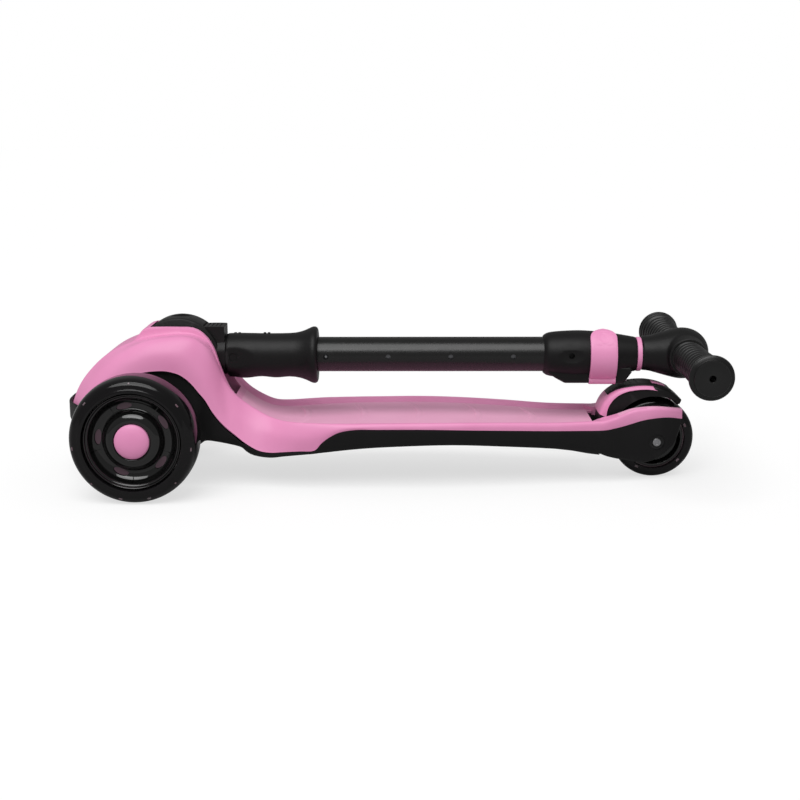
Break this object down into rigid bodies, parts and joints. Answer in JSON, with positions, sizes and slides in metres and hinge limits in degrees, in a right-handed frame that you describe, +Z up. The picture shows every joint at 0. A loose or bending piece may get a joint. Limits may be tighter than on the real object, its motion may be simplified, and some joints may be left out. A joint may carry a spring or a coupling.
{
  "type": "kick scooter",
  "caption": "Folding three-wheel child kick scooter with a lean-steered front, a telescoping T-bar laid back over the deck and a rear foot brake.",
  "frame": {"origin": "on the floor, under the middle of the folded scooter", "axes": "+X to the rear, -Y the rider's left, +Z up; the front is at -X"},
  "size_m": [0.628, 0.274, 0.1607],
  "materials": {
    "pink_plastic": "satin pink moulding",
    "black_plastic": "matt black moulding, fine grain",
    "smoke_tyre": "smoky translucent polyurethane, glossy",
    "black_gloss": "gloss black",
    "light_band": "clear band with small lamps",
    "black_paint": "satin black coating",
    "steel": "plain steel",
    "grip_rubber": "ribbed soft rubber"
  },
  "bodies": {
    "chassis": {"deck_shell": "pink_plastic", "lower_chassis": "black_plastic", "steering_bridge": "black_plastic", "kingpin_left": "steel", "kingpin_right": "steel", "hinge_bracket": "steel", "fold_pivot_pin": "steel", "deck_screw_front": "steel", "deck_screw_rear": "steel", "rear_axle": "steel", "rear_axle_nut": "steel", "brake_pin": "steel", "brake_spring": "steel", "centring_spring_left": "steel", "centring_spring_right": "steel"},
    "steering_left": {"knuckle_left": "steel", "stub_axle_left": "steel", "axle_nut_left": "steel"},
    "steering_right": {"knuckle_right": "steel", "stub_axle_right": "steel", "axle_nut_right": "steel"},
    "tie_bar": {"tie_rod": "steel"},
    "front_wheel_left": {"tyre_left": "smoke_tyre", "light_band_left": "light_band", "wheel_core_left": "black_gloss", "bearing_inner_left": "steel", "bearing_outer_left": "steel", "hub_cap_left": "pink_plastic"},
    "front_wheel_right": {"tyre_right": "smoke_tyre", "light_band_right": "light_band", "wheel_core_right": "black_gloss", "bearing_inner_right": "steel", "bearing_outer_right": "steel", "hub_cap_right": "pink_plastic"},
    "rear_wheel": {"tyre_rear": "smoke_tyre", "light_band_rear": "light_band", "wheel_core_rear": "black_gloss", "bearing_rear_left": "steel", "bearing_rear_right": "steel"},
    "brake": {"brake_fender": "black_plastic", "fender_trim": "pink_plastic", "fender_pad": "black_plastic"},
    "stem": {"hinge_drum": "black_plastic", "stem_sleeve": "black_plastic", "stem_tube": "black_paint", "clamp_body": "black_plastic", "clamp_bolt": "steel", "cam_pin": "steel", "release_spring": "steel"},
    "fold_button": {"release_button": "black_plastic"},
    "clamp_lever": {"quick_release_lever": "pink_plastic"},
    "handlebar": {"inner_tube": "steel", "collar_ring": "pink_plastic", "tee": "black_plastic", "crossbar": "steel", "grip_left": "grip_rubber", "grip_right": "grip_rubber"},
    "detent": {"height_button": "steel"}
  },
  "joints": [
    {"name": "stem_fold", "type": "hinge", "parent": "chassis", "child": "stem", "pos_m": [-0.205, 0, 0.12], "axis": [0, -1, 0], "range_deg": [0, 76]},
    {"name": "fold_button_press", "type": "slide", "parent": "stem", "child": "fold_button", "axis": [0, 0, -1], "range_m": [0, 0.004], "stiffness_N_per_m": 400, "springref_m": -0.002, "deforming": ["release_spring"]},
    {"name": "clamp_lever_open", "type": "hinge", "parent": "stem", "child": "clamp_lever", "pos_m": [0.209, -0.0115, 0.099], "axis": [1, 0, 0], "range_deg": [0, 90]},
    {"name": "height_slide", "type": "slide", "parent": "stem", "child": "handlebar", "axis": [1, 0, 0], "range_m": [0, 0.183]},
    {"name": "height_button_press", "type": "slide", "parent": "handlebar", "child": "detent", "axis": [0, 1, 0], "range_m": [0, 0.003], "stiffness_N_per_m": 500, "springref_m": -0.002},
    {"name": "steer_left", "type": "hinge", "parent": "chassis", "child": "steering_left", "pos_m": [-0.235, -0.042, 0.06], "axis": [-0.5, 0, 0.866], "range_deg": [-10, 10], "stiffness_Nm_per_rad": 6},
    {"name": "steer_right", "type": "hinge", "parent": "chassis", "child": "steering_right", "pos_m": [-0.235, 0.042, 0.06], "axis": [-0.5, 0, 0.866], "range_deg": [-10, 10]},
    {"name": "tie_bar_slide", "type": "slide", "parent": "chassis", "child": "tie_bar", "axis": [0, 1, 0], "range_m": [-0.004, 0.004], "deforming": ["centring_spring_left", "centring_spring_right"]},
    {"name": "wheel_spin_left", "type": "hinge", "parent": "steering_left", "child": "front_wheel_left", "pos_m": [-0.235, -0.092, 0.06], "axis": [0, 1, 0], "continuous": true},
    {"name": "wheel_spin_right", "type": "hinge", "parent": "steering_right", "child": "front_wheel_right", "pos_m": [-0.235, 0.092, 0.06], "axis": [0, 1, 0], "continuous": true},
    {"name": "wheel_spin_rear", "type": "hinge", "parent": "chassis", "child": "rear_wheel", "pos_m": [0.2618, 0, 0.04], "axis": [0, 1, 0], "continuous": true},
    {"name": "brake_press", "type": "hinge", "parent": "chassis", "child": "brake", "pos_m": [0.2145, 0, 0.0603], "axis": [0, 1, 0], "range_deg": [0, 2.7], "stiffness_Nm_per_rad": 2, "springref_deg": -2.86, "deforming": ["brake_spring"]}
  ],
  "couplings": [
    {"joint": "steer_right", "follows": "steer_left", "ratio": 1},
    {"joint": "tie_bar_slide", "follows": "steer_left", "m_per_rad": 0.022}
  ]
}
